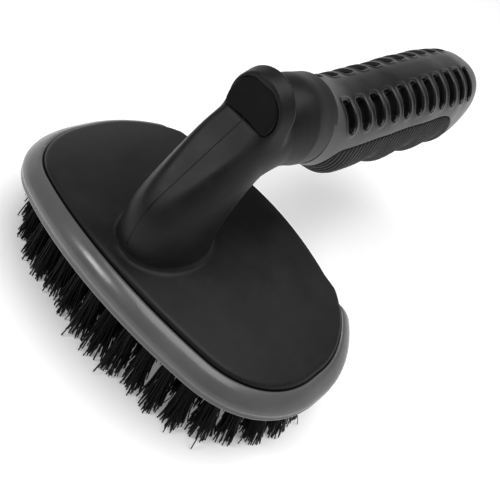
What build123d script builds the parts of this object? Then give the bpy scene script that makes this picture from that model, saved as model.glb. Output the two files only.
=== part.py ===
from build123d import *
import math
import os

# Hand wheel brush: an arched oval head, a leaning neck with a thumb stop, and a soft grip.
# Millimetres. +Z is up, +X runs along the handle towards its butt, Y is the head's long axis.
# The origin is the middle of the flat bristle trim plane. CROWN is the height of the top plate's
# middle, and the handle's heights below are measured up from it.

# Head
CROWN = 40.6                # bristle trim plane to the crown of the top plate
HALF_LENGTH = 62.6          # top plate, along Y
REACH_FRONT = 37.3          # top plate, towards -X
REACH_BACK = 38.4           # top plate, towards +X
CORNER_FRONT = 32.6         # corner radius of the oval front half
CORNER_BACK = 29.7          # corner radius of the squarer back half
CORNER_SHIFT = 5.8          # its centre, moved towards +X
ARCH_RADIUS = 208.0         # the top is bent about an axis along X
UNDER_RADIUS = 258.0        # the underside is bent less, so the head thins towards its ends
PLATE_THICKNESS = 2.8
PLATE_EDGE = 0.7            # round on the plate's top edge
HEAD_DEPTH = 9.8            # plate and block together, in the middle
RIM_BULGE = 6.3             # soft rim, beyond the plate's edge
RIM_GAP = 0.4               # shadow groove between plate and rim
RIM_DROP = 0.7              # the rim's lip below the plate's top
RIM_ROUND = 2.4             # rounds of the rim's outer edges
RIM_END_DEG = 30.0          # the rim stops at both back corners, this far round them
TONGUE = 2.0                # block's tongue into the rim
TONGUE_TOP = 3.3
TONGUE_BOTTOM = 5.0

# Bristle tufts and the flat wire anchors that hold them
RING_INSET = 4.6            # outer ring of holes, inside the plate's edge
RING_STEP = 8.2             # from ring to ring
RING_COUNT = 4
TUFT_PITCH = 8.2            # from tuft to tuft along a ring
ROW_HALF_LENGTH = 24.6      # centre row
HOLE_RADIUS = 2.0
HOLE_DEPTH = 3.1
ROOT_RADIUS = 1.9
TIP_RADIUS = 3.3
TUFT_LENGTH = 46.0          # from the hole's bottom, before it is trimmed
SPLAY_DEG = 9.0             # outer ring, less towards the middle
ANCHOR_WIDTH = 4.6
ANCHOR_THICKNESS = 0.6
ANCHOR_HEIGHT = 1.2

# Screws from the bristle side into bosses under the plate
SCREW_X = 18.5
SCREW_Y = 28.0
SCREW_RADIUS = 1.5
SCREW_HEAD_RADIUS = 2.9
SCREW_HEAD_HEIGHT = 1.9
SCREW_LENGTH = 6.9          # head and shank
SCREW_CLEAR = 5.6           # no tuft closer than this
BOSS_RADIUS = 3.4
BOSS_DEPTH = 3.0            # below the plate's underside
BOSS_CLEARANCE = 0.2
SHANK_CLEARANCE = 0.2
PILOT_DEPTH = 1.4           # the pilot holes' ends under the plate's top
HEAD_SINK = 0.6             # screw head inside the block's underside
CUT_MARGIN = 1.0            # a cutting tool past the surface that it opens

# Neck sections: front point, rear point and half width
NECK = [
    ((-32.0, -3.0), (1.4, -3.0), 14.0),
    ((-32.5, 7.6), (2.4, 3.8), 12.9),
    ((-29.8, 18.4), (3.3, 8.5), 12.3),
    ((-19.4, 33.0), (5.0, 16.0), 11.7),
    ((-8.5, 45.6), (8.3, 23.0), 11.2),
    ((5.7, 52.0), (14.5, 25.4), 12.0),
    ((17.0, 54.8), (20.5, 24.3), 13.9),
    ((26.5, 54.0), (26.5, 23.6), 14.1),
]
SEAM = 26.5                 # where the grip meets the ferrule
CREASE_X = -4.1             # sharp edge between the neck's flat front and the thumb stop
CREASE_Z = 45.1
FACET_DEG = 45.5            # slope of the neck's flat front

# Thumb stop: a round flange with a soft pad in its front
STOP_Z = 49.0
STOP_RADIUS = 11.2          # at its back edge
STOP_LIP_RADIUS = 9.6      # at its front edge
STOP_FRONT = -1.8
STOP_THICKNESS = 6.0
STOP_ROUND = 0.5
PAD_Z = 48.9
PAD_RADIUS = 8.8
PAD_FRONT = -4.1
PAD_BACK = 0.8
PAD_FACE_DEG = 75.0         # its face leans back towards the top
PAD_FLOOR = 0.3             # its lower edge above the crease

# Grip sections: x, top, bottom, half width. The bottom waves between the fingers.
GRIP = [
    (26.5, 53.8, 23.5, 14.2),
    (36.0, 50.1, 20.6, 15.3),
    (48.0, 48.5, 14.0, 16.3),
    (59.0, 48.2, 13.3, 16.6),
    (71.0, 48.3, 14.6, 16.9),
    (85.0, 48.8, 9.0, 17.4),
    (100.0, 49.0, 13.0, 18.0),
    (112.0, 49.1, 7.7, 18.5),
    (126.0, 48.8, 10.6, 18.9),
    (136.0, 48.6, 6.4, 18.8),
    (150.0, 46.9, 10.2, 17.2),
    (160.0, 43.4, 15.6, 13.2),
    (165.7, 37.8, 21.2, 7.6),
]
CORE = [
    (26.0, 48.6, 27.6, 9.4),
    (45.0, 45.0, 21.0, 10.8),
    (90.0, 44.0, 18.0, 12.4),
    (125.0, 43.5, 18.5, 12.6),
    (146.0, 41.0, 21.5, 10.2),
]
CORE_END = 146.0
BORE_RADIUS = 6.5
BORE_START = 12.0
BORE_Z = 34.0
PLUG_LENGTH = 9.0
PLUG_FLANGE_RADIUS = 8.0
PLUG_FLANGE = 1.5

# Slots along both shoulders of the grip, by angle from the top
SLOT_COUNT = 11
SLOT_FIRST = 40.0
SLOT_PITCH = 9.95
SLOT_WIDTH = 5.8
SLOT_DEPTH = 3.2
SLOT_FROM_DEG = 20.0
SLOT_TO_DEG = 51.0          # first slot
SLOT_GROW_DEG = 1.2         # each slot reaches this much further down than the last
SLOT_Z = 30.0               # axis that the angles turn about
SLOT_REACH = 80.0           # past the grip's surface

# Ribbed zone under the grip, in side view
FINGER_START = 33.0
FINGER_END = 138.0
FINGER_TOP = 35.0
FINGER_ROUND_FRONT = 7.0
FINGER_ROUND_REAR = 24.0
FINGER_SKIN = 2.2

ARCH_AXIS_Z = CROWN - ARCH_RADIUS
UNDER_AXIS_Z = CROWN - HEAD_DEPTH - UNDER_RADIUS
BIG = 400.0


def half_outline(reach, corner, shift, offset, side):
    """Tangent arcs of one half of the head outline. side is +1 for the back and -1 for the front."""
    centre_y = HALF_LENGTH - corner
    gap = reach - shift
    flank = (gap ** 2 + centre_y ** 2 - corner ** 2) / (2 * (gap - corner))
    centre_x = reach - flank
    turn = math.atan2(centre_y, shift - centre_x)

    def point(cx, cy, radius, angle):
        return (side * (cx + radius * math.cos(angle)), cy + radius * math.sin(angle))

    top = point(shift, centre_y, corner + offset, math.pi / 2)
    shoulder = point(shift, centre_y, corner + offset, (math.pi / 2 + turn) / 2)
    joint = point(centre_x, 0, flank + offset, turn)
    nose = point(centre_x, 0, flank + offset, 0)
    mirrored = [(x, -y) for x, y in (top, shoulder, joint)]
    return [
        ThreePointArc(top, shoulder, joint),
        ThreePointArc(joint, nose, mirrored[2]),
        ThreePointArc(mirrored[2], mirrored[1], mirrored[0]),
    ]


def outline_wire(offset):
    """The head outline, offset outwards. It starts in the middle of the +Y end."""
    end_y = HALF_LENGTH + offset
    back = half_outline(REACH_BACK, CORNER_BACK, CORNER_SHIFT, offset, 1)
    front = half_outline(REACH_FRONT, CORNER_FRONT, 0.0, offset, -1)
    ends = [Line((0, end_y), (CORNER_SHIFT, end_y)), Line((CORNER_SHIFT, -end_y), (0, -end_y))]
    return Wire([ends[0], *back, ends[1], *reversed(front)])


def lying_bar(axis_z, radius):
    return Pos(0, 0, axis_z) * Rot(0, 90, 0) * Cylinder(radius, BIG)


def arch_bar(depth):
    """Round bar whose top is the arched surface at this depth under the crown."""
    return lying_bar(ARCH_AXIS_Z, ARCH_RADIUS - depth)


def under_bar():
    """Round bar whose top is the head's underside."""
    return lying_bar(UNDER_AXIS_Z, UNDER_RADIUS)


def arched_layer(offset, upper, lower):
    """Layer of the head between two of these bars."""
    prism = extrude(make_face(outline_wire(offset)), CROWN + RIM_BULGE)
    return (prism & upper) - lower


def arch_z(y):
    return ARCH_AXIS_Z + math.sqrt(ARCH_RADIUS ** 2 - y ** 2)


def under_z(y):
    return UNDER_AXIS_Z + math.sqrt(UNDER_RADIUS ** 2 - y ** 2)


def half_space(z, side):
    """Big box above (side +1) or below (side -1) a height."""
    return Pos(0, 0, z + side * BIG / 2) * Box(BIG, BIG, BIG)


def handle_loft(sections):
    """Smooth body through elliptical sections across the handle."""
    faces = []
    for x, top, bottom, half_width in sections:
        plane = Plane(origin=(x, 0, CROWN + (top + bottom) / 2), x_dir=(0, 1, 0), z_dir=(1, 0, 0))
        faces.append(plane * Ellipse(half_width, (top - bottom) / 2))
    return loft(faces)


def neck_loft():
    faces = []
    for (front_x, front_z), (rear_x, rear_z), half_width in NECK:
        across = Vector(front_x - rear_x, 0, front_z - rear_z)
        middle = ((front_x + rear_x) / 2, 0, CROWN + (front_z + rear_z) / 2)
        plane = Plane(origin=middle, x_dir=(0, 1, 0), z_dir=Vector(0, 1, 0).cross(across))
        faces.append(plane * Ellipse(half_width, across.length / 2))
    return loft(faces)


def thumb_pad():
    length = 2 * (PAD_BACK - PAD_FRONT)
    disc = Pos(PAD_BACK - length / 2, 0, CROWN + PAD_Z) * Rot(0, 90, 0) * Cylinder(PAD_RADIUS, length)
    face = Pos(PAD_FRONT, 0, CROWN + CREASE_Z) * Rot(0, -PAD_FACE_DEG, 0) * half_space(0, 1)
    return (disc & half_space(CROWN + CREASE_Z + PAD_FLOOR, 1)) - face


def thumb_stop():
    middle = STOP_FRONT + STOP_THICKNESS / 2
    disc = Pos(middle, 0, CROWN + STOP_Z) * Rot(0, 90, 0) * Cone(STOP_LIP_RADIUS, STOP_RADIUS, STOP_THICKNESS)
    return fillet(disc.edges().filter_by(GeomType.CIRCLE), STOP_ROUND)


def screw_bars(radius, low, high):
    """Upright cylinders at the four screws between two heights."""
    bars = []
    for x in (-SCREW_X, SCREW_X):
        for y in (-SCREW_Y, SCREW_Y):
            bars.append(Pos(x, y, (low + high) / 2) * Cylinder(radius, high - low))
    return bars


def handle_body(pad, core):
    plate = arched_layer(0.0, arch_bar(0.0), arch_bar(PLATE_THICKNESS))
    top_face = max(plate.faces().filter_by(GeomType.CYLINDER), key=lambda face: face.area)
    plate = fillet(top_face.edges(), PLATE_EDGE)
    front = Pos(CREASE_X, 0, CROWN + CREASE_Z) * Rot(0, -FACET_DEG, 0) * half_space(0, 1)
    neck = (neck_loft() & half_space(CROWN - PLATE_THICKNESS / 2, 1)) - front
    bore_length = CORE_END - BORE_START
    bore_x = (CORE_END + BORE_START) / 2
    bore = Pos(bore_x, 0, CROWN + BORE_Z) * Rot(0, 90, 0) * Cylinder(BORE_RADIUS, bore_length)
    top = arch_z(SCREW_Y)
    low = top - PLATE_THICKNESS - BOSS_DEPTH
    body = plate + neck + thumb_stop() + core
    for boss in screw_bars(BOSS_RADIUS, low, top - PILOT_DEPTH):
        body += boss
    body -= [pad, bore, *screw_bars(SCREW_RADIUS, low, top - PILOT_DEPTH)]
    return body


def core_plug():
    z = CROWN + BORE_Z
    stem = Pos(CORE_END - PLUG_LENGTH / 2, 0, z) * Rot(0, 90, 0) * Cylinder(BORE_RADIUS, PLUG_LENGTH)
    flange = Pos(CORE_END + PLUG_FLANGE / 2, 0, z) * Rot(0, 90, 0) * Cylinder(PLUG_FLANGE_RADIUS, PLUG_FLANGE)
    return stem + flange


def slot_sector(start_x, from_deg, to_deg):
    """Slice across the grip between two angles from the top."""
    corners = [(0, 0)]
    for degrees in (from_deg, to_deg):
        angle = math.radians(degrees)
        corners.append((SLOT_REACH * math.sin(angle), SLOT_REACH * math.cos(angle)))
    plane = Plane(origin=(start_x, 0, CROWN + SLOT_Z), x_dir=(0, 1, 0), z_dir=(1, 0, 0))
    return extrude(plane * make_face(Polyline(*corners, close=True)), SLOT_WIDTH)


def shoulder_slots(inner):
    """The slots on both shoulders, down to the inner body."""
    bars = []
    for i in range(SLOT_COUNT):
        start_x = SLOT_FIRST + i * SLOT_PITCH - SLOT_WIDTH / 2
        bar = slot_sector(start_x, SLOT_FROM_DEG, SLOT_TO_DEG + i * SLOT_GROW_DEG) - inner
        bars += [bar, mirror(bar, Plane.XZ)]
    return bars


def finger_zone():
    """Side view of the ribbed zone, extruded across the grip."""
    plane = Plane(origin=(0, 0, CROWN), x_dir=(1, 0, 0), z_dir=(0, -1, 0))
    low = -BIG / 4
    corners = [(FINGER_START, low), (FINGER_START, FINGER_TOP), (FINGER_END, FINGER_TOP), (FINGER_END, low)]
    zone = extrude(plane * make_face(Polyline(*corners, close=True)), -low, both=True)
    rear = zone.edges().filter_by(Axis.Y).sort_by(Axis.Z)[-2:].sort_by(Axis.X)[-1]
    zone = fillet(rear, FINGER_ROUND_REAR)
    walls = zone.edges().filter_by(Axis.Y).filter_by_position(Axis.X, FINGER_START, FINGER_START)
    return fillet(walls.sort_by(Axis.Z)[-1], FINGER_ROUND_FRONT)


def shrunk(sections, skin):
    return [(x, top - skin, bottom + skin, half_width - skin) for x, top, bottom, half_width in sections]


def grip_pieces(core, plug):
    """The grip sleeve and the ribbed finger grip let into its underside."""
    outer = handle_loft(GRIP)
    zone = finger_zone()
    finger = (outer & zone) - handle_loft(shrunk(GRIP, FINGER_SKIN))
    slots = shoulder_slots(handle_loft(shrunk(GRIP, SLOT_DEPTH)))
    sleeve = outer - [core, plug, finger, *slots]
    return sleeve, finger


def rim_opening():
    """Wedge behind the head that the rim leaves open."""
    angle = math.radians(RIM_END_DEG)
    corner_y = HALF_LENGTH - CORNER_BACK
    far = (CORNER_SHIFT + BIG * math.cos(angle), corner_y + BIG * math.sin(angle))
    points = [(CORNER_SHIFT, corner_y), far, (far[0], -far[1]), (CORNER_SHIFT, -corner_y)]
    return extrude(make_face(Polyline(*points, close=True)), 2 * CROWN)


def rim_bumper():
    outer = arched_layer(RIM_BULGE, arch_bar(RIM_DROP), under_bar())
    walls = outer.edges().filter_by(lambda edge: edge.length > RIM_BULGE * 2)
    rim = fillet(walls, RIM_ROUND) - extrude(make_face(outline_wire(RIM_GAP)), BIG)
    rim -= rim_opening()
    return rim - tongue()


def tongue():
    layer = arched_layer(RIM_GAP + TONGUE, arch_bar(TONGUE_TOP), arch_bar(TONGUE_BOTTOM))
    return layer - rim_opening()


def brush_block(holes, anchors):
    body = arched_layer(RIM_GAP, arch_bar(PLATE_THICKNESS), under_bar()) + tongue()
    top = arch_z(SCREW_Y)
    low = under_z(SCREW_Y)
    recess = low + HEAD_SINK + SCREW_HEAD_HEIGHT
    body -= screw_bars(BOSS_RADIUS + BOSS_CLEARANCE, top - PLATE_THICKNESS - BOSS_DEPTH, top)
    body -= screw_bars(SCREW_RADIUS + SHANK_CLEARANCE, low - CUT_MARGIN, top)
    body -= screw_bars(SCREW_HEAD_RADIUS + SHANK_CLEARANCE, low - CUT_MARGIN, recess)
    return body - holes - anchors


def block_screws():
    low = under_z(SCREW_Y) + HEAD_SINK
    heads = screw_bars(SCREW_HEAD_RADIUS, low, low + SCREW_HEAD_HEIGHT)
    shanks = screw_bars(SCREW_RADIUS, low, low + SCREW_LENGTH)
    return [head + shank for head, shank in zip(heads, shanks)]


def ring_places(offset, splay):
    """Tuft places along one ring: the hole's mouth, with +Z into the block."""
    wire = outline_wire(offset)
    count = round(wire.length / TUFT_PITCH)
    places = []
    for i in range(count):
        share = (i + 0.5) / count
        point = wire.position_at(share)
        along = wire.tangent_at(share)
        away = Vector(along.Y, -along.X, 0)
        if away.dot(Vector(point.X, point.Y, 0)) < 0:
            away = -away
        places.append(tuft_place(point.X, point.Y, away, splay))
    return clear_of_screws(places)


def row_places():
    count = 1 + 2 * round(ROW_HALF_LENGTH / TUFT_PITCH)
    step = 2 * ROW_HALF_LENGTH / (count - 1)
    return [tuft_place(0, -ROW_HALF_LENGTH + i * step, Vector(1, 0, 0), 0.0) for i in range(count)]


def tuft_place(x, y, away, splay):
    lean = math.radians(splay)
    into = Vector(-away.X * math.sin(lean), -away.Y * math.sin(lean), math.cos(lean))
    return Plane(origin=(x, y, under_z(y)), x_dir=(away.Y, -away.X, 0), z_dir=into)


def clear_of_screws(places):
    kept = []
    for place in places:
        gap = math.hypot(abs(place.origin.X) - SCREW_X, abs(place.origin.Y) - SCREW_Y)
        if gap > SCREW_CLEAR:
            kept.append(place)
    return kept


def tuft(place, anchor):
    """One tuft, flared from its root to its tip, before trimming."""
    mouth = HOLE_DEPTH
    profile = Plane.XZ * make_face(Polyline(
        (0, mouth), (ROOT_RADIUS, mouth), (ROOT_RADIUS, 0),
        (TIP_RADIUS, mouth - TUFT_LENGTH), (0, mouth - TUFT_LENGTH), close=True,
    ))
    return place.location * revolve(profile, Axis.Z) - anchor


def anchor_bar(place):
    return place.location * Pos(0, 0, HOLE_DEPTH - ANCHOR_HEIGHT / 2) * Box(
        ANCHOR_WIDTH, ANCHOR_THICKNESS, ANCHOR_HEIGHT)


def hole_bar(place):
    return place.location * Cylinder(HOLE_RADIUS, 2 * HOLE_DEPTH)


def tuft_groups():
    """Name and tuft places of each ring and of the centre row."""
    groups = {}
    for i in range(RING_COUNT):
        splay = SPLAY_DEG * (RING_COUNT - i) / RING_COUNT
        groups[f"ring_{i + 1}"] = ring_places(-RING_INSET - i * RING_STEP, splay)
    groups["centre_row"] = row_places()
    return groups


def build():
    parts = {}
    core = handle_loft(CORE)
    parts["thumb_pad"] = thumb_pad()
    parts["core_plug"] = core_plug()
    parts["handle_body"] = handle_body(parts["thumb_pad"], core)
    parts["grip_sleeve"], parts["finger_grip"] = grip_pieces(core, parts["core_plug"])
    parts["rim_bumper"] = rim_bumper()
    parts["block_screws"] = Compound(children=block_screws())
    holes, all_anchors = [], []
    below = half_space(0, -1)
    for name, places in tuft_groups().items():
        anchors = [anchor_bar(place) for place in places]
        tufts = [tuft(place, anchor) - below for place, anchor in zip(places, anchors)]
        parts[f"bristles_{name}"] = Compound(children=tufts)
        parts[f"anchors_{name}"] = Compound(children=anchors)
        holes += [hole_bar(place) for place in places]
        all_anchors += anchors
    parts["brush_block"] = brush_block(holes, all_anchors)
    return parts


os.makedirs("parts", exist_ok=True)
for node, shape in build().items():
    export_step(shape, f"parts/{node}.step")
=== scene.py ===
import math

import bpy
import numpy as np
import openvdb
from mathutils import Matrix, Vector


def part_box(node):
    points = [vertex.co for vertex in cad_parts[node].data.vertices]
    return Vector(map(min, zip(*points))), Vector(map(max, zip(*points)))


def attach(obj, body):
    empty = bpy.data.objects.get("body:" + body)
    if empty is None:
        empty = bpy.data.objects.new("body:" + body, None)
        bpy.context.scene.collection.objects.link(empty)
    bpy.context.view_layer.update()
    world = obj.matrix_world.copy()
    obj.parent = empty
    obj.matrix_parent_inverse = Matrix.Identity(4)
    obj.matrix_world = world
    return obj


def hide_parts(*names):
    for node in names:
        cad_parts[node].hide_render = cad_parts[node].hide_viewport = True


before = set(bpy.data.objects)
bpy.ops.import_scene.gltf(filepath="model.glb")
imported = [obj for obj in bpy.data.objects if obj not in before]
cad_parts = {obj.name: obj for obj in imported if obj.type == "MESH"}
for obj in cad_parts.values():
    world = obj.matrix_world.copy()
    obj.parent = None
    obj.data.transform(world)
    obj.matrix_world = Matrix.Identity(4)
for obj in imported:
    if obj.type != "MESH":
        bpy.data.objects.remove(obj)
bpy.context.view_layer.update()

# Hand wheel brush. Metres, in the CAD's frame: +X runs to the handle's butt, Y is the head's long
# axis, Z is up, and the origin is the middle of the flat bristle trim plane. Handle shapes are worked
# out in millimetres above the crown of the top plate, then scaled.
MM = 0.001
PLATE_LOW, PLATE_HIGH = (np.array(corner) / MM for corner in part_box("handle_body"))
RIM_HIGH = np.array(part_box("rim_bumper")[1]) / MM

# Head outline: tangent arcs, as in the CAD. All shapes are in millimetres, down to the studio.
CROWN = 40.6
HALF_LENGTH = PLATE_HIGH[1]
REACH_FRONT = -PLATE_LOW[0]
REACH_BACK = 38.4
CORNER_FRONT = 32.6
CORNER_BACK = 29.7
CORNER_SHIFT = 5.8
ARCH_RADIUS = 208.0
UNDER_RADIUS = 258.0
HEAD_DEPTH = 9.8
PLATE_THICKNESS = 2.8
PLATE_EDGE_ROUND = 1.6
RIM_BULGE = RIM_HIGH[1] - PLATE_HIGH[1]
RIM_GAP = 0.4
RIM_DROP = 0.7
RIM_END_DEG = 30.0

# Roundings of a sharp edge, an ordinary moulded edge and a soft rubber one
CRISP = 0.2
EDGE_ROUND = 0.3
SOFT_ROUND = 0.7

# Tufts
RING_INSET = 4.6
RING_STEP = 8.2
RING_COUNT = 4
TUFT_PITCH = 8.2
ROW_HALF_LENGTH = 24.6
SCREW_X, SCREW_Y = 18.5, 28.0
SCREW_CLEAR = 5.6
SPLAY_DEG = 9.0


# ---------------------------------------------------------------- materials

class Nodes:
    """Short names for building one material."""

    def __init__(self, name):
        self.material = bpy.data.materials.new(name)
        self.material.use_nodes = True
        self.tree = self.material.node_tree
        self.shader = self.tree.nodes["Principled BSDF"]
        coordinates = self.add("ShaderNodeTexCoord")
        self.place = coordinates.outputs["Object"]

    def add(self, kind, **inputs):
        node = self.tree.nodes.new(kind)
        for key, value in inputs.items():
            self.set(node, key.replace("_", " "), value)
        return node

    def set(self, node, key, value):
        if isinstance(value, bpy.types.NodeSocket):
            self.tree.links.new(value, node.inputs[key])
        else:
            node.inputs[key].default_value = value

    def noise(self, size_mm, detail=4.0, roughness=0.6, stretch=None):
        """Noise whose features are about this size."""
        place = self.place
        if stretch:
            mapping = self.add("ShaderNodeMapping", Vector=place, Scale=stretch)
            place = mapping.outputs["Vector"]
        node = self.add("ShaderNodeTexNoise", Vector=place, Scale=1 / (size_mm * MM), Detail=detail)
        node.inputs["Roughness"].default_value = roughness
        return node.outputs["Fac"]

    def ramp(self, value, low, high, out_low=0.0, out_high=1.0):
        node = self.add("ShaderNodeMapRange", Value=value)
        node.inputs["From Min"].default_value = low
        node.inputs["From Max"].default_value = high
        node.inputs["To Min"].default_value = out_low
        node.inputs["To Max"].default_value = out_high
        return node.outputs["Result"]

    def math(self, operation, first, second=0.0):
        node = self.tree.nodes.new("ShaderNodeMath")
        node.operation = operation
        self.set(node, 0, first)
        self.set(node, 1, second)
        return node.outputs[0]

    def mix(self, factor, first, second):
        node = self.tree.nodes.new("ShaderNodeMix")
        node.data_type = "RGBA"
        self.set(node, 0, factor)
        self.set(node, 6, first)
        self.set(node, 7, second)
        return node.outputs[2]

    def bump(self, height, depth_mm, normal=None):
        node = self.add("ShaderNodeBump", Height=height, Distance=depth_mm * MM, Strength=1.0)
        if normal:
            self.set(node, "Normal", normal)
        return node.outputs["Normal"]

    def finish(self, color, roughness, normal, **plain):
        self.set(self.shader, "Base Color", color)
        self.set(self.shader, "Roughness", roughness)
        self.set(self.shader, "Normal", normal)
        for key, value in plain.items():
            self.shader.inputs[key.replace("_", " ")].default_value = value
        return self.material


def grey(level, warmth=0.0):
    return (level * (1 + warmth), level, level * (1 - warmth), 1.0)


def pointiness(n):
    """Light worn edges: the geometry's own pointiness, sharpened."""
    geometry = n.add("ShaderNodeNewGeometry")
    return n.ramp(geometry.outputs["Pointiness"], 0.51, 0.58)


def black_plastic():
    """Injection-moulded black plastic: cloudy satin sheen, fine grain, faint scuffs."""
    n = Nodes("black_plastic")
    cloud = n.noise(14.0, 5.0, 0.65)
    mottle = n.noise(4.5, 4.0, 0.7)
    grain = n.noise(0.35, 2.0, 0.5)
    scratch = n.ramp(n.noise(1.1, 3.0, 0.6, stretch=(1.0, 0.06, 1.0)), 0.66, 0.72)
    tone = n.mix(n.ramp(cloud, 0.35, 0.65), grey(0.0095, 0.01), grey(0.0135))
    tone = n.mix(n.math("MULTIPLY", n.ramp(mottle, 0.5, 0.75), 0.25), tone, grey(0.022))
    tone = n.mix(n.math("MULTIPLY", pointiness(n), 0.3), tone, grey(0.03))
    rough = n.ramp(cloud, 0.3, 0.7, 0.36, 0.48)
    rough = n.math("ADD", rough, n.math("MULTIPLY", scratch, 0.07))
    rough = n.math("ADD", rough, n.ramp(grain, 0.3, 0.7, -0.02, 0.02))
    normal = n.bump(grain, 0.006)
    normal = n.bump(mottle, 0.05, normal)
    return n.finish(tone, rough, normal, IOR=1.5, Specular_IOR_Level=0.15)


def soft_rubber(name, dark, light, rough_low, rough_high, grain_mm=0.25, **plain):
    """Moulded soft rubber: fine matt grain, patches of dust, polished high spots."""
    n = Nodes(name)
    cloud = n.noise(9.0, 5.0, 0.6)
    grain = n.noise(grain_mm, 2.0, 0.5)
    dust = n.ramp(n.noise(1.6, 6.0, 0.75), 0.62, 0.8)
    tone = n.mix(n.ramp(cloud, 0.35, 0.65), grey(dark), grey(light))
    tone = n.mix(n.math("MULTIPLY", dust, 0.12), tone, grey(light * 2.2))
    tone = n.mix(n.math("MULTIPLY", pointiness(n), 0.3), tone, grey(light * 2.5))
    rough = n.ramp(cloud, 0.3, 0.7, rough_low, rough_high)
    rough = n.math("ADD", rough, n.math("MULTIPLY", dust, 0.08))
    normal = n.bump(grain, 0.004)
    normal = n.bump(n.noise(6.0, 2.0, 0.5), 0.04, normal)
    return n.finish(tone, rough, normal, **plain)


def grey_rubber():
    """Semi-gloss grey bumper, with slight ripple along its length and scuffs."""
    n = Nodes("grey_rubber")
    cloud = n.noise(18.0, 5.0, 0.6)
    grain = n.noise(0.3, 2.0, 0.5)
    scuff = n.ramp(n.noise(2.2, 6.0, 0.75), 0.6, 0.78)
    tone = n.mix(n.ramp(cloud, 0.3, 0.7), grey(0.082), grey(0.1))
    tone = n.mix(n.math("MULTIPLY", scuff, 0.2), tone, grey(0.066))
    tone = n.mix(n.math("MULTIPLY", pointiness(n), 0.25), tone, grey(0.26))
    rough = n.ramp(cloud, 0.3, 0.7, 0.2, 0.27)
    rough = n.math("ADD", rough, n.math("MULTIPLY", scuff, 0.1))
    normal = n.bump(grain, 0.006)
    normal = n.bump(n.noise(8.0, 2.0, 0.5), 0.1, normal)
    return n.finish(tone, rough, normal, IOR=1.5)


def bristle_nylon():
    """Black nylon filament: glossy along its length, each filament its own tone."""
    n = Nodes("bristle_nylon")
    own = n.add("ShaderNodeAttribute")
    own.attribute_name = "tone"
    shade = own.outputs["Fac"]
    tone = n.mix(n.ramp(shade, 0.0, 0.85), grey(0.001), grey(0.0025))
    tone = n.mix(n.ramp(shade, 0.93, 1.0), tone, grey(0.02))
    rough = n.ramp(shade, 0.0, 1.0, 0.36, 0.6)
    normal = n.bump(n.noise(0.5, 3.0, 0.6), 0.03)
    return n.finish(tone, rough, normal, IOR=1.45, Specular_IOR_Level=0.12)


def steel():
    """Zinc-plated steel: bright, brushed and slightly mottled."""
    n = Nodes("zinc_steel")
    cloud = n.noise(1.2, 5.0, 0.65)
    tone = n.mix(cloud, grey(0.42), grey(0.6, -0.02))
    rough = n.ramp(cloud, 0.3, 0.7, 0.25, 0.45)
    normal = n.bump(n.noise(0.15, 2.0, 0.5, stretch=(1.0, 1.0, 0.1)), 0.01)
    return n.finish(tone, rough, normal, Metallic=1.0)


FLOOR_GLOW = 0.2


def backdrop():
    """Seamless white studio floor, a little lit from below."""
    n = Nodes("studio_white")
    paper = n.noise(3.0, 3.0, 0.5)
    tone = n.mix(paper, grey(0.9), grey(0.93))
    n.set(n.shader, "Emission Color", tone)
    rough = n.ramp(paper, 0.3, 0.7, 0.55, 0.65)
    return n.finish(tone, rough, n.bump(paper, 0.01), Emission_Strength=FLOOR_GLOW)


MATERIALS = {
    "black_plastic": black_plastic(),
    "grip_rubber": soft_rubber("grip_rubber", 0.0045, 0.0075, 0.28, 0.36, Specular_IOR_Level=0.45),
    # finger_rubber: the grip rubber's colour made darker, as painted shade for the dark grooves between
    # the ribs; its higher roughness and lower specular are its own
    "finger_rubber": soft_rubber("finger_rubber", 0.003, 0.005, 0.42, 0.52, Specular_IOR_Level=0.3),
    # pad_rubber: colour set darker than the plastic and the grip rubber, as painted shade for the pad's
    # face turned away from the light; its matt finish is its own
    "pad_rubber": soft_rubber("pad_rubber", 0.003, 0.0045, 0.5, 0.6, Specular_IOR_Level=0.12),
    "grey_rubber": grey_rubber(),
    "bristle_nylon": bristle_nylon(),
    "steel": steel(),
}


# ---------------------------------------------------------------- mesh helpers

def piece(name, points, faces, slot, *nodes):
    """A mesh in the row frame that rides on root and stands for these CAD nodes."""
    mesh = bpy.data.meshes.new(name)
    mesh.from_pydata(np.asarray(points, float).tolist(), [], [list(face) for face in faces])
    mesh.update()
    mesh.shade_smooth()
    return shown(name, mesh, slot, *nodes)


def shown(name, mesh, slot, *nodes):
    """Puts a mesh in the scene with its material, its body and the CAD nodes it stands for."""
    mesh.materials.append(MATERIALS[slot])
    made = bpy.data.objects.new(name, mesh)
    bpy.context.scene.collection.objects.link(made)
    if nodes:
        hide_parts(*nodes)
    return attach(made, "root")


def quad_mesh(name, points, quads):
    """Fast mesh from an array of points and an array of quads."""
    mesh = bpy.data.meshes.new(name)
    mesh.vertices.add(len(points))
    mesh.vertices.foreach_set("co", np.ascontiguousarray(points, np.float32).ravel())
    mesh.loops.add(quads.size)
    mesh.loops.foreach_set("vertex_index", np.ascontiguousarray(quads, np.int32).ravel())
    mesh.polygons.add(len(quads))
    mesh.polygons.foreach_set("loop_start", np.arange(0, quads.size, 4, dtype=np.int32))
    mesh.update(calc_edges=True)
    mesh.validate()
    mesh.shade_smooth()
    return mesh


GRID_STEP = 0.45
FINE_STEP = 0.25
RIB_STEP = min(GRID_STEP, 0.42)
SLAB = 16                   # grid layers worked out at once
PROJECTIONS = 3
NUDGE = 0.05                # for a field's slope
MARGIN = 2                  # grid beyond a shape's box
TIGHT_MARGIN = 1.5
BAND = 3                    # grid steps kept on either side of a surface
FAR_AWAY = 10.0             # a field's value off the grid


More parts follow.
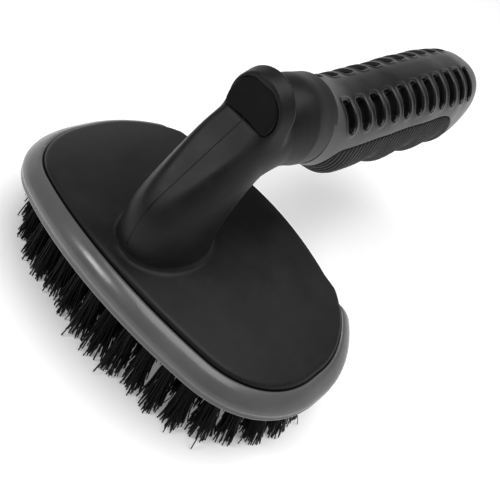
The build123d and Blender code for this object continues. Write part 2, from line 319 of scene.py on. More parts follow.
def moulded(name, shape, low, high, step, slot, *nodes):
    """Mesh of the surface where shape(x, y, z) is 0, in millimetres above the crown."""
    low, high = np.array(low, float), np.array(high, float)
    count = np.ceil((high - low) / step).astype(int) + 1
    axes = [(low[i] + step * np.arange(count[i])).astype(np.float32) for i in range(3)]
    field = np.empty(count, np.float32)
    for start in range(0, count[0], SLAB):
        xs = axes[0][start:start + SLAB, None, None]
        field[start:start + SLAB] = shape(xs, axes[1][None, :, None], axes[2][None, None, :])
    grid = openvdb.FloatGrid(background=FAR_AWAY)
    grid.copyFromArray(np.ascontiguousarray(np.clip(field, -BAND * step, BAND * step)))
    points, quads = grid.convertToQuads(isovalue=0.0)
    points = low + points.astype(float) * step
    for _ in range(PROJECTIONS):
        points = onto_surface(shape, points, step)
    points[:, 2] += CROWN
    mesh = quad_mesh(name, points * MM, quads[:, ::-1])
    return shown(name, mesh, slot, *nodes)


def onto_surface(shape, points, step):
    """One Newton step onto the surface, no longer than half the grid's step."""
    x, y, z = points.T
    value = shape(x, y, z)
    slope = np.stack([
        shape(x + NUDGE, y, z) - shape(x - NUDGE, y, z),
        shape(x, y + NUDGE, z) - shape(x, y - NUDGE, z),
        shape(x, y, z + NUDGE) - shape(x, y, z - NUDGE),
    ], axis=1) / (2 * NUDGE)
    steep = np.maximum((slope ** 2).sum(1), 0.04)
    move = -slope * (value / steep)[:, None]
    length = np.linalg.norm(move, axis=1, keepdims=True)
    return points + move * np.minimum(1.0, 0.5 * step / np.maximum(length, 1e-9))


def joined(a, b, blend):
    """Union of two distance fields with a fillet of about this size."""
    gap = np.clip(0.5 + 0.5 * (b - a) / blend, 0.0, 1.0)
    return b + (a - b) * gap - blend * gap * (1 - gap)


def shared(a, b, blend):
    """Intersection of two distance fields with a rounded edge of about this size."""
    return -joined(-a, -b, blend)


def cut(a, tool, blend):
    """What is left of a when the tool's field is taken away."""
    return shared(a, -tool, blend)


def curve(xs, values):
    """Smooth interpolation through points, as a function (monotone cubic)."""
    xs, values = np.array(xs, float), np.array(values, float)
    width = np.diff(xs)
    slope = np.diff(values) / width
    tangent = np.zeros(len(xs))
    tangent[0], tangent[-1] = slope[0], slope[-1]
    for i in range(1, len(xs) - 1):
        if slope[i - 1] * slope[i] > 0:
            a, b = 2 * width[i] + width[i - 1], width[i] + 2 * width[i - 1]
            tangent[i] = (a + b) / (a / slope[i - 1] + b / slope[i])

    def at(x):
        x = np.clip(x, xs[0], xs[-1])
        i = np.clip(np.searchsorted(xs, x, side="right") - 1, 0, len(xs) - 2)
        t = (x - xs[i]) / width[i]
        h00 = (1 + 2 * t) * (1 - t) ** 2
        h10 = t * (1 - t) ** 2
        h01 = t * t * (3 - 2 * t)
        h11 = t * t * (t - 1)
        return (h00 * values[i] + h10 * width[i] * tangent[i]
                + h01 * values[i + 1] + h11 * width[i] * tangent[i + 1])

    return at


def rounded(side, past):
    """Distance to a corner of two edges, before its rounding is taken off."""
    return np.hypot(np.maximum(side, 0), np.maximum(past, 0)) + np.minimum(np.maximum(side, past), 0)


def oval(y, z, half_width, half_height, power=2.0):
    """Distance-like field of a superellipse, close to true distance near its edge."""
    a = np.abs(y / half_width)
    b = np.abs(z / half_height)
    level = (a ** power + b ** power) ** (1 / power)
    slope_y = a ** (power - 1) / half_width
    slope_z = b ** (power - 1) / half_height
    steep = np.sqrt(slope_y ** 2 + slope_z ** 2) / np.maximum(level, 1e-3) ** (power - 1)
    return (level - 1) / np.maximum(steep, 1e-3)


# ---------------------------------------------------------------- head outline

RING_STEPS = 1600
ARC_SHARE = 200             # an arc this long gets all of the outline's steps


def flank_arc(reach, corner, shift):
    """The long arc of one half: x of its centre and its radius. Then y of the corner arc's centre."""
    centre_y = HALF_LENGTH - corner
    gap = reach - shift
    flank = (gap ** 2 + centre_y ** 2 - corner ** 2) / (2 * (gap - corner))
    return reach - flank, flank, centre_y


def half_outline(reach, corner, shift, side, steps):
    """Points and outward normals of one half, from the +Y end round to the -Y end."""
    centre_x, flank, centre_y = flank_arc(reach, corner, shift)
    turn = math.atan2(centre_y, shift - centre_x)
    arcs = [
        (shift, centre_y, corner, math.pi / 2, turn),
        (centre_x, 0.0, flank, turn, -turn),
        (shift, -centre_y, corner, -turn, -math.pi / 2),
    ]
    rows = []
    for cx, cy, radius, start, end in arcs:
        count = max(4, int(steps * radius * abs(end - start) / ARC_SHARE))
        for angle in np.linspace(start, end, count, endpoint=False):
            east, north = math.cos(angle), math.sin(angle)
            rows.append((side * (cx + radius * east), cy + radius * north, side * east, north))
    rows.append((side * shift, -HALF_LENGTH, 0.0, -1.0))
    return rows


def outline(steps):
    """Closed outline of the plate as rows x, y, normal x, normal y. It starts at the +Y end."""
    back = half_outline(REACH_BACK, CORNER_BACK, CORNER_SHIFT, 1, steps)
    front = half_outline(REACH_FRONT, CORNER_FRONT, 0.0, -1, steps)
    front.reverse()
    return even(np.array(back + front[1:]), steps)


def run_length(rows):
    """How far along a line each of its points is."""
    return np.concatenate([[0], np.cumsum(np.hypot(*np.diff(rows[:, :2], axis=0).T))])


def even(rows, count):
    """The same closed outline at equal steps."""
    closed = np.vstack([rows, rows[:1]])
    length = run_length(closed)
    at = np.linspace(0, length[-1], count, endpoint=False)
    made = np.stack([np.interp(at, length, closed[:, i]) for i in range(4)], axis=1)
    made[:, 2:] /= np.linalg.norm(made[:, 2:], axis=1, keepdims=True)
    return made


def top_z(y, depth=0.0):
    """Height of the arched top, above the crown."""
    return np.sqrt((ARCH_RADIUS - depth) ** 2 - y ** 2) - ARCH_RADIUS


def under_z(y):
    """Height of the head's arched underside, below the crown."""
    return np.sqrt(UNDER_RADIUS ** 2 - y ** 2) - UNDER_RADIUS - HEAD_DEPTH


def half_distance(u, y, reach, corner, shift):
    """Signed distance to one half of the outline. u is measured towards that half."""
    centre_x, flank, centre_y = flank_arc(reach, corner, shift)
    on_corner = (y - centre_y) * (shift - centre_x) > (u - shift) * centre_y
    to_corner = np.hypot(u - shift, y - centre_y) - corner
    to_flank = np.hypot(u - centre_x, y) - flank
    return np.where(u < shift, y - HALF_LENGTH, np.where(on_corner, to_corner, to_flank))


def outline_distance(x, y):
    """Signed distance to the whole outline."""
    y = np.abs(y)
    back = half_distance(x, y, REACH_BACK, CORNER_BACK, CORNER_SHIFT)
    front = half_distance(-x, y, REACH_FRONT, CORNER_FRONT, 0.0)
    return np.where(x >= 0, back, front)


# ---------------------------------------------------------------- neck, thumb stop and plate

# Rows up the neck: front point and rear point in side view as x, z, and half width
NECK = [
    ((-32.0, -3.0), (1.4, -3.0), 14.0),
    ((-32.5, 7.6), (2.4, 3.8), 12.9),
    ((-29.8, 18.4), (3.3, 8.5), 12.3),
    ((-19.4, 33.0), (5.0, 16.0), 11.7),
    ((-8.5, 45.6), (8.3, 23.0), 11.2),
    ((5.7, 52.0), (14.5, 25.4), 12.0),
    ((17.0, 54.8), (20.5, 24.3), 13.9),
    ((26.5, 54.0), (26.5, 23.6), 14.1),
]
SEAM = 26.5
NECK_END = 30.0
CREASE = (-4.1, 45.1)
FACET_DEG = 45.5
STOP_Z = 49.0
STOP_RADIUS = 11.2          # at its back edge
STOP_LIP_RADIUS = 9.8       # at its front edge
STOP_MIDDLE = 1.2           # along X
STOP_THICKNESS = 6.0
STOP_ROUND = 0.8
PAD_RADIUS = 8.9
PAD_HALF_WIDTH = 8.9
PAD_Z = 49.0
PAD_FRONT = -4.3
PAD_BACK = 0.8
PAD_SLOPE = 0.25            # its face leans back towards the top
PAD_ROUND = 0.9
PAD_GAP = 0.08
PAD_DISH = 0.35             # how deep the face is dished
PAD_DISH_REACH = 0.62       # share of the pad's radius
PAD_DISH_DEPTH = 1.5        # the dish stays this far in front of the pad's back
PAD_FLOOR_LIFT = 0.2        # above the crease
PAD_FLOOR_ROUND = 0.5
FACET_BLEND = 1.1
STOP_BLEND = 3.6
FOOT_BLEND = 2.2
FOOT_DEPTH = PLATE_THICKNESS * 0.8      # the neck goes this far into the plate
NECK_POWER = 2.05           # superellipse, 2 is an ellipse
LEAST_HEIGHT = 0.5
SPAN_STEPS = 8
LINE_OVERRUN = 50.0         # how far an open line's ends run on, in spans
PARTING_WIDTH = 0.4
PARTING_RISE = 0.14
PARTING_SINK = 0.12
PARTING_LOW = 4.0           # its lower end, above the crown
PARTING_STOP = 1.0          # its upper end, in front of the crease


def smooth_line(points, per_span=SPAN_STEPS):
    """Catmull-Rom curve through 2-D points."""
    points = np.array(points, float)
    padded = np.vstack([2 * points[0] - points[1], points, 2 * points[-1] - points[-2]])
    rows = []
    for i in range(1, len(padded) - 2):
        a, b, c, d = padded[i - 1:i + 3]
        for t in np.linspace(0, 1, per_span, endpoint=False):
            rows.append(0.5 * (2 * b + (c - a) * t + (2 * a - 5 * b + 4 * c - d) * t * t
                               + (3 * b - a - 3 * c + d) * t ** 3))
    rows.append(points[-1])
    return np.array(rows)


def line_distance(x, z, line):
    """Signed distance to an open line in side view, positive on its left, and how far along it."""
    best = np.full(np.broadcast(x, z).shape, 1e9, np.float32)
    signed = best.copy()
    along = best * 0
    for i, (start, end) in enumerate(zip(line[:-1], line[1:])):
        dx, dz = end - start
        t = ((x - start[0]) * dx + (z - start[1]) * dz) / (dx * dx + dz * dz)
        low = 0.0 if i > 0 else -LINE_OVERRUN
        high = 1.0 if i < len(line) - 2 else LINE_OVERRUN
        t = np.clip(t, low, high)
        off_x = x - start[0] - t * dx
        off_z = z - start[1] - t * dz
        gap = np.hypot(off_x, off_z)
        side = np.where(dx * off_z - dz * off_x >= 0, gap, -gap)
        nearer = gap < best
        best = np.where(nearer, gap, best)
        signed = np.where(nearer, side, signed)
        along = np.where(nearer, i + t, along)
    return signed, along


NECK_FRONT = smooth_line([front for front, rear, width in NECK])
NECK_REAR = smooth_line([rear for front, rear, width in NECK])
NECK_MIDDLE = (NECK_FRONT + NECK_REAR) / 2
NECK_WIDTH = np.interp(
    np.arange(len(NECK_MIDDLE)) / SPAN_STEPS, np.arange(len(NECK)), [width for front, rear, width in NECK])


def neck(x, y, z):
    """The leaning neck: an oval section between its front and rear lines."""
    front, _ = line_distance(x, z, NECK_FRONT)
    rear, _ = line_distance(x, z, NECK_REAR)
    _, along = line_distance(x, z, NECK_MIDDLE)
    rear = -rear
    half_height = np.maximum(-(front + rear) / 2, LEAST_HEIGHT)
    across = (front - rear) / 2
    half_width = np.interp(along, np.arange(len(NECK_WIDTH)), NECK_WIDTH)
    return oval(y, across, half_width, half_height, NECK_POWER)


def stop_flange(x, y, z):
    """Round flange across the handle, a little wider at the back, with rounded edges."""
    share = np.clip((x - STOP_MIDDLE) / STOP_THICKNESS + 0.5, 0.0, 1.0)
    radius = STOP_LIP_RADIUS + (STOP_RADIUS - STOP_LIP_RADIUS) * share
    out = np.hypot(y, z - STOP_Z) - (radius - STOP_ROUND)
    side = np.abs(x - STOP_MIDDLE) - (STOP_THICKNESS / 2 - STOP_ROUND)
    return rounded(out, side) - STOP_ROUND


def facet(x, z):
    """Distance in front of the neck's flat front band."""
    angle = math.radians(FACET_DEG)
    return (z - CREASE[1]) * math.cos(angle) - (x - CREASE[0]) * math.sin(angle)


def pad_seat(x, y, z, grow=0.0):
    """The soft pad's body: an oval plug whose face leans back towards the top."""
    edge = oval(y, z - PAD_Z, PAD_HALF_WIDTH + grow, PAD_RADIUS + grow)
    face = (PAD_FRONT - x + PAD_SLOPE * (z - CREASE[1])) / math.hypot(1.0, PAD_SLOPE)
    body = shared(edge, face, PAD_ROUND)
    body = shared(body, CREASE[1] + PAD_FLOOR_LIFT - grow - z, PAD_FLOOR_ROUND)
    return shared(body, x - PAD_BACK - grow, EDGE_ROUND)


def plate(x, y, z):
    """The arched top plate."""
    top = np.hypot(y, z + ARCH_RADIUS) - ARCH_RADIUS
    slab = np.maximum(top, -PLATE_THICKNESS - top)
    return shared(outline_distance(x, y), slab, PLATE_EDGE_ROUND)


def handle_shape(x, y, z):
    """The whole moulding: neck with its flat band, thumb stop with the pad's seat, and plate."""
    body = shared(neck(x, y, z), facet(x, z), FACET_BLEND)
    body = joined(body, stop_flange(x, y, z), STOP_BLEND)
    body = cut(body, pad_seat(x, y, z, PAD_GAP), EDGE_ROUND)
    body = shared(body, -FOOT_DEPTH - z, CRISP)
    body = shared(body, x - NECK_END, EDGE_ROUND)
    return joined(body, plate(x, y, z), FOOT_BLEND)


def pad_shape(x, y, z):
    """The soft pad: a slightly dished face inside a low raised edge."""
    seat = pad_seat(x, y, z)
    reach = np.hypot(y, z - PAD_Z) / PAD_RADIUS
    return seat + PAD_DISH * np.exp(-(reach / PAD_DISH_REACH) ** 4) * (x < PAD_BACK - PAD_DISH_DEPTH)


def parting_line():
    """Fine raised moulding line down the middle of the neck's front."""
    angle = math.radians(FACET_DEG)
    half = PARTING_WIDTH / 2
    foot = [(-half, -PARTING_SINK), (half, -PARTING_SINK)]
    crest = [(-half / 2, PARTING_RISE), (half / 2, PARTING_RISE)]
    section = [foot[0], *crest, foot[1]]
    path = smooth_line([front for front, rear, width in NECK], 2 * SPAN_STEPS)
    path = path[(path[:, 0] < CREASE[0] - PARTING_STOP) & (path[:, 1] > PARTING_LOW)]
    in_front = np.maximum(facet(path[:, 0], path[:, 1]), 0.0)
    path = path - in_front[:, None] * np.array([[-math.sin(angle), math.cos(angle)]])
    run = np.gradient(path, axis=0)
    run /= np.linalg.norm(run, axis=1, keepdims=True)
    rows = []
    for (x, z), (dx, dz) in zip(path, run):
        for side, lift in section:
            rows.append((x - lift * dz, side, CROWN + z + lift * dx))
    around = len(section)
    last = len(rows) - around
    ends = [tuple(range(around))[::-1], tuple(range(last, last + around))]
    return np.array(rows), tube_faces(len(path), around) + ends


def tube_faces(rings, around):
    """Quads of a tube's side, ring by ring."""
    faces = []
    for i in range(rings - 1):
        for j in range(around):
            k = (j + 1) % around
            faces.append((i * around + j, i * around + k, (i + 1) * around + k, (i + 1) * around + j))
    return faces


def add_handle():
    low = (PLATE_LOW[0] - MARGIN, PLATE_LOW[1] - MARGIN, top_z(HALF_LENGTH) - PLATE_THICKNESS - MARGIN)
    high = (NECK_END + MARGIN, PLATE_HIGH[1] + MARGIN, STOP_Z + STOP_RADIUS + MARGIN)
    moulded("neck_and_plate", handle_shape, low, high, GRID_STEP, "black_plastic", "handle_body")
    low = (PAD_FRONT - MARGIN, -PAD_RADIUS - MARGIN, CREASE[1] - MARGIN)
    high = (PAD_BACK + MARGIN, PAD_RADIUS + MARGIN, STOP_Z + PAD_RADIUS + MARGIN)
    # The pad's rubber carries painted shade in its darker colour.
    moulded("thumb_rest", pad_shape, low, high, FINE_STEP, "pad_rubber", "thumb_pad")


def add_parting_line():
    points, faces = parting_line()
    piece("neck_parting_line", points * MM, faces, "black_plastic")


# ---------------------------------------------------------------- grip

# Rows along the grip: x, top, bottom, half width
GRIP = [
    (26.5, 53.8, 23.5, 14.2),
    (36.0, 50.1, 20.6, 15.3),
    (48.0, 48.5, 14.0, 16.3),
    (59.0, 48.2, 13.3, 16.6),
    (71.0, 48.3, 14.6, 16.9),
    (85.0, 48.8, 9.0, 17.4),
    (100.0, 49.0, 13.0, 18.0),
    (112.0, 49.1, 7.7, 18.5),
    (126.0, 48.8, 10.6, 18.9),
    (136.0, 48.6, 6.4, 18.8),
    (150.0, 46.9, 10.2, 17.2),
    (160.0, 43.4, 15.6, 13.2),
    (165.7, 37.8, 21.2, 7.6),
]
GRIP_END = GRIP[-1][0]
GRIP_TOP = curve([row[0] for row in GRIP], [row[1] for row in GRIP])
GRIP_BOTTOM = curve([row[0] for row in GRIP], [row[2] for row in GRIP])
GRIP_WIDTH = curve([row[0] for row in GRIP], [row[3] for row in GRIP])
GRIP_POWER = curve([SEAM, 40.0, GRIP_END], [2.05, 2.3, 2.3])
SLOT_COUNT = 11
SLOT_FIRST = 40.0
SLOT_PITCH = 9.95
SLOT_WIDTH = 5.7
SLOT_DEPTH = 3.4
SLOT_FROM_DEG = 18.5
SLOT_TO_DEG = 52.5          # first slot
SLOT_GROW_DEG = 1.2         # each slot reaches this much further down than the last
SLOT_Z = 30.0               # the angles are measured about this height
SLOT_ARC_RADIUS = 18.5
SLOT_FLOOR_ROUND = 1.6
SLOT_EDGE_ROUND = 0.6
LIP_RISE = 0.22             # raised edge round each slot
LIP_OFFSET = 0.75
LIP_WIDTH = 0.55
FINGER_START = 33.0
FINGER_END = 138.0
FINGER_TOP = 35.0
FINGER_ROUND_FRONT = 7.0
FINGER_ROUND_REAR = 24.0
FINGER_SKIN = 2.2
FINGER_SEAT_GAP = 0.12
ZONE_ROUND = 0.5
RIB_PITCH = 2.6
RIB_DEPTH = 0.9
RIB_CREST = 0.15            # the ribs' crests above the sleeve's surface
HOLLOW_Z = 37.5             # the sleeve's bore for the core
HOLLOW_RADIUS = 9.0
HOLLOW_END = 140.0
SLEEVE_START = SEAM + 0.15
BUTT_ROUND = 1.5


def grip_outer(x, y, z):
    """The grip's outer form, without slots and ribs."""
    top, bottom, half_width = GRIP_TOP(x), GRIP_BOTTOM(x), GRIP_WIDTH(x)
    body = oval(y, z - (top + bottom) / 2, half_width, (top - bottom) / 2, GRIP_POWER(x))
    return shared(body, x - GRIP_END, BUTT_ROUND)


def slot_field(x, y, z):
    """Distance from the nearest slot's edge, measured over the grip's surface."""
    number = np.clip(np.round((x - SLOT_FIRST) / SLOT_PITCH), 0, SLOT_COUNT - 1)
    u = x - SLOT_FIRST - number * SLOT_PITCH
    start = math.radians(SLOT_FROM_DEG)
    end = np.radians(SLOT_TO_DEG + number * SLOT_GROW_DEG)
    half = (end - start) / 2 * SLOT_ARC_RADIUS
    along = (np.arctan2(np.abs(y), z - SLOT_Z) - (start + end) / 2) * SLOT_ARC_RADIUS
    edge = np.where(along > 0, SLOT_WIDTH / 2, SLOT_WIDTH / 4)
    side = np.abs(u) - (SLOT_WIDTH / 2 - edge)
    past = np.abs(along) - (half - edge)
    return rounded(side, past) - edge


def zone_field(x, z):
    """Distance outside the ribbed zone, in side view."""
    middle = (FINGER_START + FINGER_END) / 2
    radius = np.where(x > middle, FINGER_ROUND_REAR, FINGER_ROUND_FRONT)
    side = np.abs(x - middle) - (FINGER_END - FINGER_START) / 2 + radius
    rise = z - FINGER_TOP + radius
    return rounded(side, rise) - radius


def sleeve_shape(x, y, z):
    """The soft sleeve: outer form with lipped slots, the seat of the ribbed zone, and the bore."""
    body = grip_outer(x, y, z)
    slot = slot_field(x, y, z)
    body = body - LIP_RISE * np.exp(-((slot - LIP_OFFSET) / LIP_WIDTH) ** 2)
    floor = -(body + SLOT_DEPTH)
    body = cut(body, shared(slot, floor, SLOT_FLOOR_ROUND), SLOT_EDGE_ROUND)
    zone = zone_field(x, z)
    body = cut(body, shared(zone, -(body + FINGER_SKIN), EDGE_ROUND), ZONE_ROUND)
    hollow = oval(y, z - HOLLOW_Z, HOLLOW_RADIUS, HOLLOW_RADIUS)
    body = cut(body, np.maximum(hollow, x - HOLLOW_END), CRISP)
    return shared(body, SLEEVE_START - x, SOFT_ROUND)


def finger_shape(x, y, z):
    """The ribbed finger zone: a skin of even thickness with ribs across it."""
    outer = grip_outer(x, y, z)
    wave = 0.5 + 0.5 * np.cos(2 * math.pi * x / RIB_PITCH)
    ribbed = outer + RIB_DEPTH * wave ** 1.5 - RIB_CREST
    zone = zone_field(x, z) + FINGER_SEAT_GAP
    body = shared(ribbed, zone, SOFT_ROUND)
    return cut(body, outer + FINGER_SKIN, CRISP)


def add_grip():
    wide = max(row[3] for row in GRIP) + MARGIN
    low = (SEAM - TIGHT_MARGIN, -wide, min(row[2] for row in GRIP) - MARGIN)
    high = (GRIP_END + MARGIN, wide, max(row[1] for row in GRIP) + MARGIN)
    moulded("soft_grip_sleeve", sleeve_shape, low, high, GRID_STEP, "grip_rubber", "grip_sleeve")
    low = (FINGER_START - TIGHT_MARGIN, -wide, low[2])
    high = (FINGER_END + TIGHT_MARGIN, wide, FINGER_TOP + TIGHT_MARGIN)
    # The ribbed zone's rubber carries painted shade: its colour is darkened for the grooves between the
    # ribs.
    moulded("ribbed_finger_grip", finger_shape, low, high, RIB_STEP, "finger_rubber", "finger_grip")


# ---------------------------------------------------------------- rim

# The rim's section: how far out, and how far below the arched top
RIM_PROFILE = [
    (0.8, 3.2), (0.8, 1.7), (1.1, 1.2), (1.7, 1.15), (2.6, 1.6), (3.5, 2.35), (4.2, 3.15),
    (4.75, 4.0), (5.1, 4.9), (5.25, 5.7), (5.2, 6.5), (5.1, 7.2), (5.2, 7.8), (5.35, 8.4),
    (5.25, 9.1), (4.8, 9.6), (4.0, 9.8), (2.4, 9.8), (0.8, 9.8),
]
RIM_START = 0.8
RIM_FAR = 5.35
RIM_END_LENGTH = 5.0        # over which each end tapers
RIM_END_SHARE = 0.35        # of the section's height, at the very end
RIM_END_SQUARED = 0.0004    # square of the smallest share of the reach
RIM_STEPS = 700
RIM_SPAN_STEPS = 3
RIM_SCALE = (RIM_BULGE - RIM_GAP) / (RIM_FAR - RIM_START)


def add_rim():
    """The grey bumper: its section swept round the front and both ends, tapering at the back corners."""
    rows = outline(RIM_STEPS)
    corner_y = HALF_LENGTH - CORNER_BACK
    angle = np.degrees(np.arctan2(np.abs(rows[:, 1]) - corner_y, rows[:, 0] - CORNER_SHIFT))
    kept = (angle > RIM_END_DEG) | (rows[:, 0] < CORNER_SHIFT)
    first = int(np.argmax(~kept & np.roll(kept, 1)))
    rows = np.roll(rows, -first, axis=0)
    rows = rows[np.roll(kept, -first)]
    length = run_length(rows)
    to_end = np.minimum(length, length[-1] - length)
    taper = 1 - (1 - np.minimum(to_end / RIM_END_LENGTH, 1)) ** 2
    swell = np.sqrt(np.clip(taper, RIM_END_SQUARED, 1))
    profile = smooth_line(RIM_PROFILE, RIM_SPAN_STEPS)
    points = []
    for (x, y, nx, ny), size in zip(rows, swell):
        for out, depth in profile:
            reach = RIM_GAP + (out - RIM_START) * size * RIM_SCALE
            px, py = x + nx * reach, y + ny * reach
            share = (depth - RIM_DROP) / (HEAD_DEPTH - RIM_DROP)
            share = 0.5 + (share - 0.5) * (RIM_END_SHARE + (1 - RIM_END_SHARE) * size)
            high = top_z(py) - RIM_DROP
            points.append((px, py, CROWN + high + (under_z(py) - high) * share))
    around = len(profile)
    faces = tube_faces(len(rows), around)
    faces.append(tuple(range(around)))
    faces.append(tuple(range((len(rows) - 1) * around, len(rows) * around))[::-1])
    made = piece("bumper_rim", np.array(points) * MM, faces, "grey_rubber", "rim_bumper")
    made.data.validate()


# ---------------------------------------------------------------- bristles

def ring_places(offset, splay):
    """Tuft places along one ring, as in the CAD: root x, y, outward direction and lean."""
    rows = outline(RING_STEPS)
    ring = rows.copy()
    ring[:, :2] += rows[:, 2:] * offset
    closed = np.vstack([ring, ring[:1]])
    length = run_length(closed)
    count = round(length[-1] / TUFT_PITCH)
    at = (np.arange(count) + 0.5) / count * length[-1]
    made = []
    for d in at:
        x, y, nx, ny = (np.interp(d, length, closed[:, i]) for i in range(4))
        if math.hypot(abs(x) - SCREW_X, abs(y) - SCREW_Y) > SCREW_CLEAR:
            made.append((x, y, nx, ny, splay))
    return made


def centre_places():
    """Tuft places along the centre row, which stands upright."""
    count = 1 + 2 * round(ROW_HALF_LENGTH / TUFT_PITCH)
    return [(0.0, y, 1.0, 0.0, 0.0) for y in np.linspace(-ROW_HALF_LENGTH, ROW_HALF_LENGTH, count)]


FILAMENTS = 88
FILAMENT_RADIUS = 0.26
FILAMENT_RINGS = 7
FILAMENT_SIDES = 4
FILAMENT_CORNERS = FILAMENT_RINGS * FILAMENT_SIDES
RADIUS_LOW, RADIUS_HIGH = 0.85, 1.15    # from filament to filament
GATHER_LOW, GATHER_HIGH = 0.85, 1.1     # from tuft to tuft
SIDE_LEAN, END_LEAN = 0.8, 1.45         # tufts lean out less at the sides than at the ends
TUFT_LEAN_SPREAD = 1.3                  # degrees
ROOT_RADIUS = 1.75
TIP_RADIUS = 4.4
FLARE_POWER = 1.3
ROOT_DEPTH = 1.5                        # how far a filament goes into its hole
TRIM_LOW, TRIM_MEAN, TRIM_SPREAD = 0.15, 0.55, 0.5
SHORT_SHARE = 0.06                      # this share of the filaments is cut short
SHORT_LOW, SHORT_HIGH = 0.5, 3.5        # by this much
CRIMP_LOW, CRIMP_HIGH = 0.08, 0.3       # height of the crimp's waves
WAVES_LOW, WAVES_HIGH = 2.2, 3.4
STRAY_SPREAD = 0.55
LOOSE_SHARE, LOOSE_SPREAD = 0.05, 1.8   # some filaments stray further
STRAY_POWER = 2.5
SECTION_TURN = 6.28                     # radians
RING_SEED, ROW_SEED = 11, 31


def filament(rng, place):
    """Centreline of one crimped filament, from inside its hole to the trim plane."""
    x, y, nx, ny, splay = place
    turn = rng.uniform(0, 2 * math.pi)
    share = math.sqrt(rng.uniform(0, 1))
    own_x, own_y = math.cos(turn) * share, math.sin(turn) * share
    lean = math.radians(splay)
    root_z = CROWN + under_z(y) + ROOT_DEPTH
    trim = max(TRIM_LOW, TRIM_MEAN + rng.normal(0, TRIM_SPREAD))
    if rng.uniform() < SHORT_SHARE:
        trim += rng.uniform(SHORT_LOW, SHORT_HIGH)
    t = np.linspace(0, 1, FILAMENT_RINGS)
    drop = root_z - trim
    spread = ROOT_RADIUS + (TIP_RADIUS - ROOT_RADIUS) * t ** FLARE_POWER
    out = drop * t * math.tan(lean)
    px = x + nx * out * SIDE_LEAN + own_x * spread
    py = y + ny * out * END_LEAN + own_y * spread
    crimp = rng.uniform(CRIMP_LOW, CRIMP_HIGH)
    phase = rng.uniform(0, 2 * math.pi, 2)
    waves = rng.uniform(WAVES_LOW, WAVES_HIGH)
    px = px + crimp * np.sin(2 * math.pi * waves * t + phase[0]) * t
    py = py + crimp * np.sin(2 * math.pi * waves * t + phase[1]) * t
    stray = rng.normal(0, STRAY_SPREAD, 2)
    if rng.uniform() < LOOSE_SHARE:
        stray = stray + rng.normal(0, LOOSE_SPREAD, 2)
    px = px + stray[0] * t ** STRAY_POWER
    py = py + stray[1] * t ** STRAY_POWER
    pz = root_z - drop * t
    return np.stack([px, py, pz], axis=1)


def tube_points(line, radius, turn):
    """Corners of a thin level-sided tube round a centreline."""
    angle = turn + np.arange(FILAMENT_SIDES) / FILAMENT_SIDES * 2 * math.pi
    ring = np.stack([np.cos(angle), np.sin(angle), 0 * angle], axis=1) * radius
    return (line[:, None, :] + ring[None, :, :]).reshape(-1, 3)


def tuft_filaments(rng, places):
    """Corner points and tone of every filament in these tufts."""
    points, tones = [], []
    for place in places:
        gather = rng.uniform(GATHER_LOW, GATHER_HIGH)
        lean = rng.normal(0, TUFT_LEAN_SPREAD)
        place = (*place[:4], place[4] + lean)
        for _ in range(FILAMENTS):
            line = filament(rng, place)
            radius = FILAMENT_RADIUS * rng.uniform(RADIUS_LOW, RADIUS_HIGH) * gather
            points.append(tube_points(line, radius, rng.uniform(0, SECTION_TURN)))
            tones.append(rng.uniform())
    return points, tones


def filament_quads(count):
    """Side quads of this many filaments, one after another."""
    ring = np.arange(FILAMENT_SIDES)
    nxt = np.roll(ring, -1)
    one = []
    for i in range(FILAMENT_RINGS - 1):
        a, b = i * FILAMENT_SIDES, (i + 1) * FILAMENT_SIDES
        one.append(np.stack([a + ring, b + ring, b + nxt, a + nxt], axis=1))
    one = np.concatenate(one)
    return (one[None] + (np.arange(count) * FILAMENT_CORNERS)[:, None, None]).reshape(-1, 4)


def add_bristles(name, node, places, seed):
    """One piece for a group of tufts, in place of the CAD's node."""
    points, tones = tuft_filaments(np.random.default_rng(seed), places)
    mesh = quad_mesh(name, np.concatenate(points) * MM, filament_quads(len(points)))
    cap_filaments(mesh, len(points))
    attribute = mesh.attributes.new("tone", "FLOAT", "POINT")
    attribute.data.foreach_set("value", np.repeat(np.array(tones, np.float32), FILAMENT_CORNERS))
    shown(name, mesh, "bristle_nylon", node)


def cap_filaments(mesh, count):
    """Closes both ends of every filament with one face."""
    loops = len(mesh.loops)
    polygons = len(mesh.polygons)
    last = FILAMENT_CORNERS - FILAMENT_SIDES
    caps = []
    for i in range(count):
        caps.append(i * FILAMENT_CORNERS + np.arange(FILAMENT_SIDES))
        caps.append(i * FILAMENT_CORNERS + last + np.arange(FILAMENT_SIDES)[::-1])
    caps = np.array(caps, np.int32)
    mesh.loops.add(caps.size)
    mesh.polygons.add(len(caps))
    start = np.arange(loops, loops + caps.size, FILAMENT_SIDES, dtype=np.int32)
    starts = np.empty(polygons + len(caps), np.int32)
    mesh.polygons.foreach_get("loop_start", starts)
    starts[polygons:] = start
    corners = np.empty(loops + caps.size, np.int32)
    mesh.loops.foreach_get("vertex_index", corners)
    corners[loops:] = caps.ravel()
    mesh.loops.foreach_set("vertex_index", corners)
    mesh.polygons.foreach_set("loop_start", starts)
    mesh.update(calc_edges=True)
    mesh.validate()
    mesh.shade_smooth()


def add_all_bristles():
    for i in range(RING_COUNT):
        splay = SPLAY_DEG * (RING_COUNT - i) / RING_COUNT
        places = ring_places(-RING_INSET - i * RING_STEP, splay)
        node = f"bristles_ring_{i + 1}"
        add_bristles(f"{node}_filaments", node, places, RING_SEED + i)
    add_bristles("bristles_centre_row_filaments", "bristles_centre_row", centre_places(), ROW_SEED)


# ---------------------------------------------------------------- carried-over CAD nodes

def dress(node, slot):
    """Gives a CAD node that stays its procedural material."""
    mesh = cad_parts[node].data
    mesh.materials.clear()
    mesh.materials.append(MATERIALS[slot])


def dress_nodes():
    dress("brush_block", "black_plastic")
    dress("core_plug", "black_plastic")
    dress("block_screws", "steel")
    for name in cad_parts:
        if name.startswith("anchors_"):
            dress(name, "steel")


# ---------------------------------------------------------------- studio

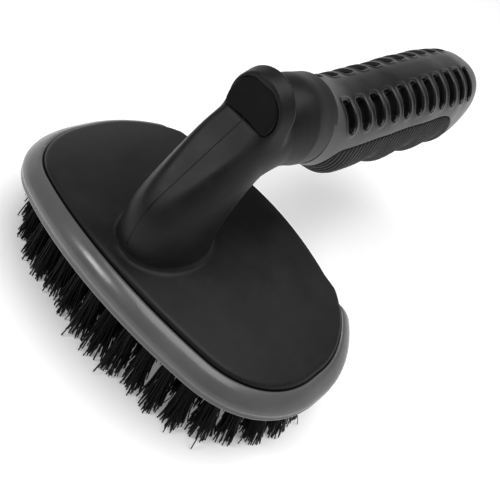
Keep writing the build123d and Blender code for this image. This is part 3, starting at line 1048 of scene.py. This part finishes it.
CAMERA_AT = Vector((-137.4, -76.4, 177.5)) * MM
CAMERA_LENS = 44.26
CAMERA_HEADING_DEG = 21.82     # from +X towards +Y
CAMERA_TILT_DEG = 40.97        # looking down
CAMERA_ROLL_DEG = 31.77
# Metres from here on, and watts for the lights
CLIP_NEAR, CLIP_FAR = 0.01, 20.0
FLOOR_REACH = 3.0
LIGHT_TARGET = Vector((0.03, 0.0, 0.05))


def add_floor():
    corners = [(FLOOR_REACH * x, FLOOR_REACH * y, 0) for x, y in ((-1, -1), (1, -1), (1, 1), (-1, 1))]
    mesh = bpy.data.meshes.new("floor")
    mesh.from_pydata(corners, [], [(0, 1, 2, 3)])
    mesh.materials.append(backdrop())
    floor = bpy.data.objects.new("floor", mesh)
    bpy.context.scene.collection.objects.link(floor)


def add_light(name, towards, distance, size, power):
    """A square soft light this far from the brush, facing it."""
    data = bpy.data.lights.new(name, "AREA")
    data.shape = "RECTANGLE"
    data.size = size
    data.size_y = size
    data.energy = power
    lamp = bpy.data.objects.new(name, data)
    bpy.context.scene.collection.objects.link(lamp)
    direction = Vector(towards).normalized()
    lamp.location = LIGHT_TARGET + direction * distance
    lamp.rotation_mode = "QUATERNION"
    lamp.rotation_quaternion = direction.to_track_quat("Z", "Y")


def smooth_ramp(nodes, from_low, from_high, to_low, to_high):
    """A soft step between two brightnesses."""
    ramp = nodes.new("ShaderNodeMapRange")
    ramp.interpolation_type = "SMOOTHSTEP"
    ramp.inputs["From Min"].default_value = from_low
    ramp.inputs["From Max"].default_value = from_high
    ramp.inputs["To Min"].default_value = to_low
    ramp.inputs["To Max"].default_value = to_high
    return ramp


def add_world():
    """White sweep: bright behind the object near the horizon, dim overhead and behind the camera."""
    world = bpy.data.worlds.new("studio")
    bpy.context.scene.world = world
    world.use_nodes = True
    nodes, links = world.node_tree.nodes, world.node_tree.links
    place = nodes.new("ShaderNodeTexCoord")
    split = nodes.new("ShaderNodeSeparateXYZ")
    fade = smooth_ramp(nodes, 0.05, 0.45, 0.9, 0.08)
    front = smooth_ramp(nodes, -0.5, 0.5, 0.35, 1.0)
    both = nodes.new("ShaderNodeMath")
    both.operation = "MULTIPLY"
    links.new(place.outputs["Generated"], split.inputs["Vector"])
    links.new(split.outputs["Z"], fade.inputs["Value"])
    links.new(split.outputs["X"], front.inputs["Value"])
    links.new(fade.outputs["Result"], both.inputs[0])
    links.new(front.outputs["Result"], both.inputs[1])
    links.new(both.outputs[0], nodes["Background"].inputs["Strength"])
    nodes["Background"].inputs["Color"].default_value = (1, 1, 1, 1)


def add_studio():
    add_floor()
    add_world()
    add_light("key_softbox", (-0.63, 0.42, 0.64), 0.9, 0.22, 2.2)
    add_light("overhead", (0.1, -0.15, 1.0), 1.6, 1.6, 32.0)
    bpy.context.scene.view_settings.view_transform = "Standard"


def camera_turn():
    """The camera's turn from its heading, tilt and roll."""
    heading = math.radians(CAMERA_HEADING_DEG)
    tilt = math.radians(CAMERA_TILT_DEG)
    roll = math.radians(CAMERA_ROLL_DEG)
    level_run = math.cos(tilt)
    forward = Vector((level_run * math.cos(heading), level_run * math.sin(heading), -math.sin(tilt)))
    level = forward.cross(Vector((0, 0, 1))).normalized()
    upright = level.cross(forward)
    up = upright * math.cos(roll) - level * math.sin(roll)
    right = forward.cross(up)
    return Matrix((right, up, -forward)).transposed().to_quaternion()


def add_camera():
    data = bpy.data.cameras.new("camera")
    data.sensor_width = 36.0
    data.lens = CAMERA_LENS
    data.clip_start, data.clip_end = CLIP_NEAR, CLIP_FAR
    camera = bpy.data.objects.new("camera", data)
    bpy.context.scene.collection.objects.link(camera)
    camera.location = CAMERA_AT
    camera.rotation_mode = "QUATERNION"
    camera.rotation_quaternion = camera_turn()
    bpy.context.scene.camera = camera


add_handle()
add_grip()
add_rim()
add_all_bristles()
add_parting_line()
dress_nodes()
add_studio()
add_camera()
